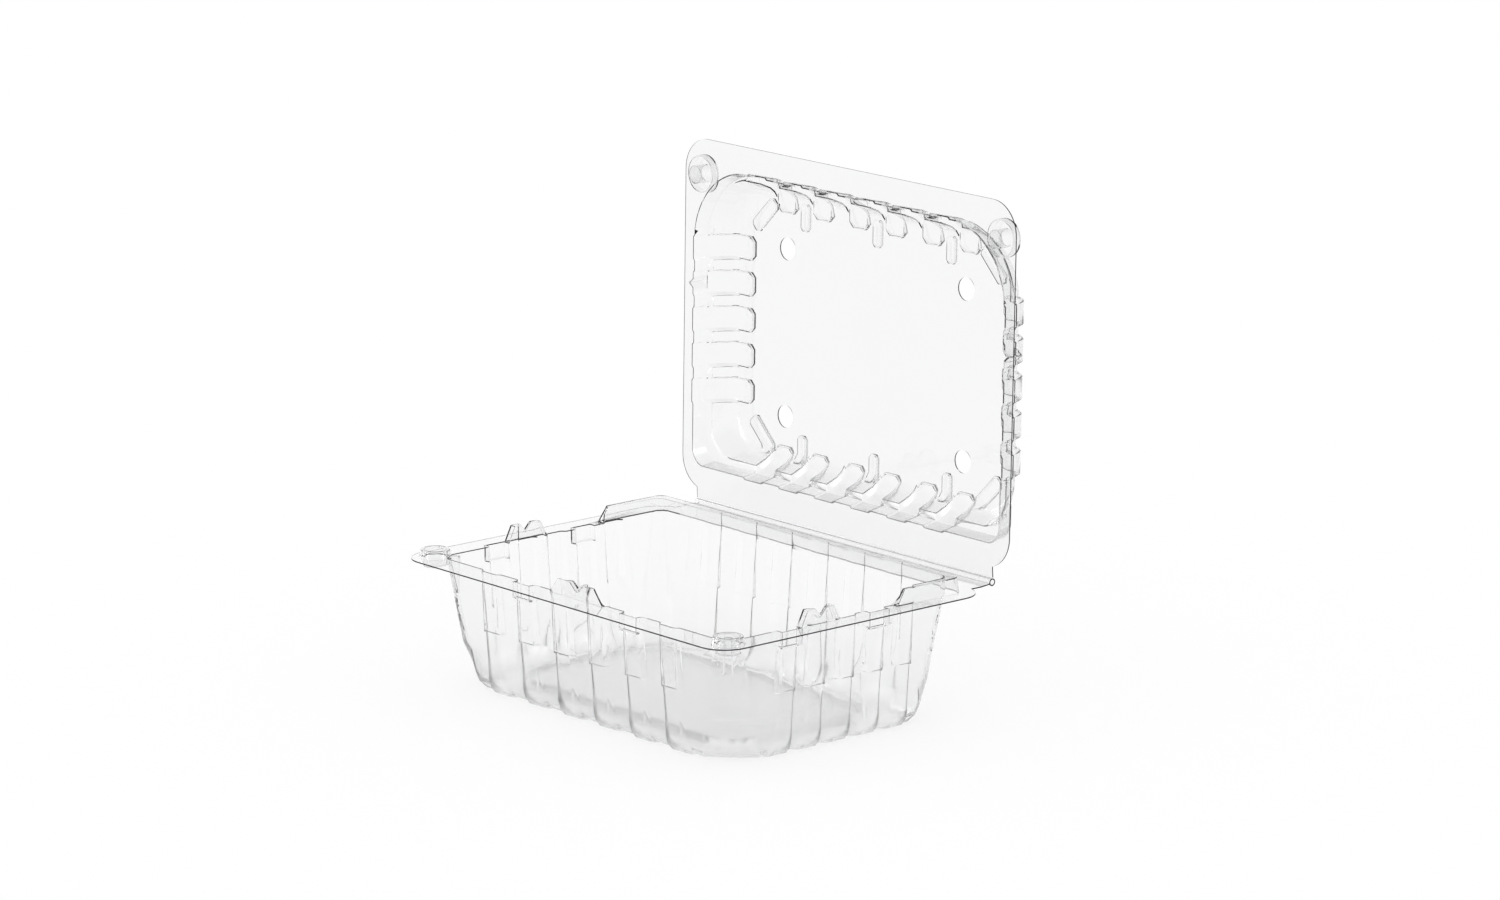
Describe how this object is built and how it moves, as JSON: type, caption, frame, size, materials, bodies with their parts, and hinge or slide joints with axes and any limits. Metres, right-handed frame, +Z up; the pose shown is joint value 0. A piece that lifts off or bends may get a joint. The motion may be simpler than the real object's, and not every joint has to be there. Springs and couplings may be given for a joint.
{
  "type": "clamshell produce pack",
  "caption": "Clear plastic clamshell pack for fruit: a fluted tray with a raised rim and snap sockets, and a ribbed, vented lid on a hinge.",
  "frame": {"origin": "on the table, under the middle of the tray's flange outline", "axes": "+X along the hinge, +Y from the front edge to the hinge, +Z up"},
  "size_m": [0.19, 0.1631, 0.1976],
  "materials": {
    "tray_film": "gloss",
    "lid_film": "gloss"
  },
  "bodies": {
    "tray": {"tray": "tray_film"},
    "lid": {"lid": "lid_film"}
  },
  "joints": [
    {"name": "lid_hinge", "type": "hinge", "parent": "tray", "child": "lid", "pos_m": [0, 0.07705, 0.0506], "axis": [1, 0, 0], "range_deg": [-89, 91]}
  ]
}
